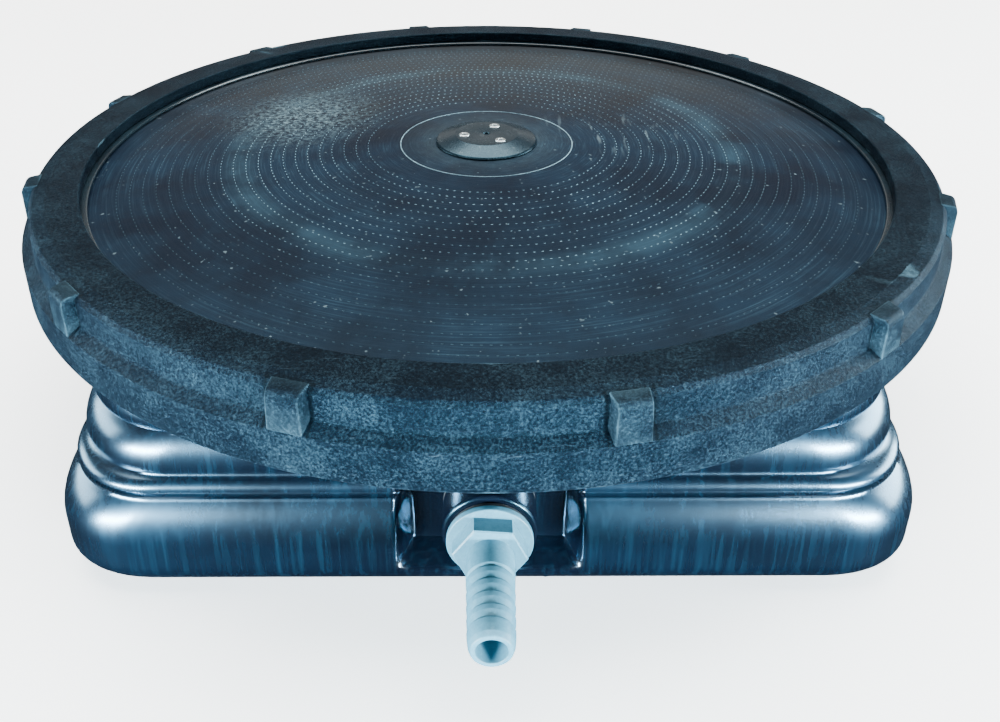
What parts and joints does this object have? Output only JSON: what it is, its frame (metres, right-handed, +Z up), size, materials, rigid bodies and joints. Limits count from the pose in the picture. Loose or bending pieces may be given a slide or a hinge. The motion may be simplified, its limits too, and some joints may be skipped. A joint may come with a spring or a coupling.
{
  "type": "membrane disc air diffuser",
  "caption": "Round rubber-membrane air diffuser disc with a screw-on clamp ring, on a three-tier rounded-square ballast base with a barbed air inlet in front.",
  "frame": {"origin": "centre of the base's flat underside, on the disc's axis", "axes": "+Z up along the disc's axis, -Y out of the air inlet, +Y out of the filling plug"},
  "size_m": [0.34, 0.352, 0.0997],
  "materials": {
    "black_polyethylene": "satin black blow-moulded polyethylene, slightly waxy, fine upright scuffs",
    "sand": "packed quartz sand",
    "black_cap": "moulded black nylon, lightly grained",
    "black_rubber": "matt black EPDM",
    "grey_polypropylene": "glass-filled polypropylene, dull dark grey",
    "valve_rubber": "red-brown silicone rubber",
    "membrane_rubber": "black EPDM with a faint blue-grey bloom and chalky scuffs",
    "slip_ring_plastic": "smooth polypropylene, bright on its rounded edge",
    "black_polypropylene": "glass-filled polypropylene, finely mottled and scuffed",
    "cap_plastic": "smooth black polypropylene",
    "stainless_steel": "dull bright stainless steel",
    "grey_pvc": "plain grey rigid PVC",
    "black_collar": "smooth black nylon with a rounded bright lip",
    "grey_blue_nylon": "satin grey-blue moulded nylon"
  },
  "bodies": {
    "base": {"ballast_shell": "black_polyethylene", "ballast_fill": "sand", "well_cover": "black_cap", "support_plate": "grey_polypropylene", "membrane": "membrane_rubber", "centre_cap": "cap_plastic", "centre_screw_1": "stainless_steel", "centre_screw_2": "stainless_steel", "centre_screw_3": "stainless_steel", "hub_gasket": "black_rubber", "lock_washer": "grey_polypropylene", "lock_nut": "black_cap", "air_elbow": "grey_pvc", "air_pipe": "grey_pvc", "inlet_collar": "black_collar", "inlet_seal": "black_rubber"},
    "slip_ring": {"slip_ring": "slip_ring_plastic"},
    "clamp_ring": {"clamp_ring": "black_polypropylene"},
    "check_valve": {"check_valve_disc": "valve_rubber"},
    "hose_tail_seal": {"hose_tail_seal": "black_rubber"},
    "hose_tail": {"hose_tail": "grey_blue_nylon"},
    "filler_seal": {"filler_seal": "black_rubber"},
    "filler_cap": {"filler_cap": "black_cap"}
  },
  "joints": [
    {"name": "clamp_ring_lift", "type": "slide", "parent": "base", "child": "slip_ring", "axis": [0, 0, 1], "range_m": [0, 0.009]},
    {"name": "clamp_ring_turn", "type": "hinge", "parent": "slip_ring", "child": "clamp_ring", "pos_m": [0, 0, 0.0895], "axis": [0, 0, 1], "range_deg": [0, 540]},
    {"name": "check_valve_lift", "type": "slide", "parent": "base", "child": "check_valve", "axis": [0, 0, 1], "range_m": [0, 0.0025]},
    {"name": "hose_tail_draw", "type": "slide", "parent": "base", "child": "hose_tail_seal", "axis": [0, -1, 0], "range_m": [0, 0.0127]},
    {"name": "hose_tail_turn", "type": "hinge", "parent": "hose_tail_seal", "child": "hose_tail", "pos_m": [0, -0.1415, 0.0278], "axis": [0, -1, 0], "range_deg": [0, 2520]},
    {"name": "filler_cap_draw", "type": "slide", "parent": "base", "child": "filler_seal", "axis": [0, 1, 0], "range_m": [0, 0.008]},
    {"name": "filler_cap_turn", "type": "hinge", "parent": "filler_seal", "child": "filler_cap", "pos_m": [0, 0.1325, 0.0215], "axis": [0, 1, 0], "range_deg": [0, 1440]}
  ],
  "couplings": [
    {"joint": "clamp_ring_lift", "follows": "clamp_ring_turn", "m_per_rad": 0.00095493},
    {"joint": "hose_tail_draw", "follows": "hose_tail_turn", "m_per_rad": 0.00028871},
    {"joint": "filler_cap_draw", "follows": "filler_cap_turn", "m_per_rad": 0.00031831}
  ]
}
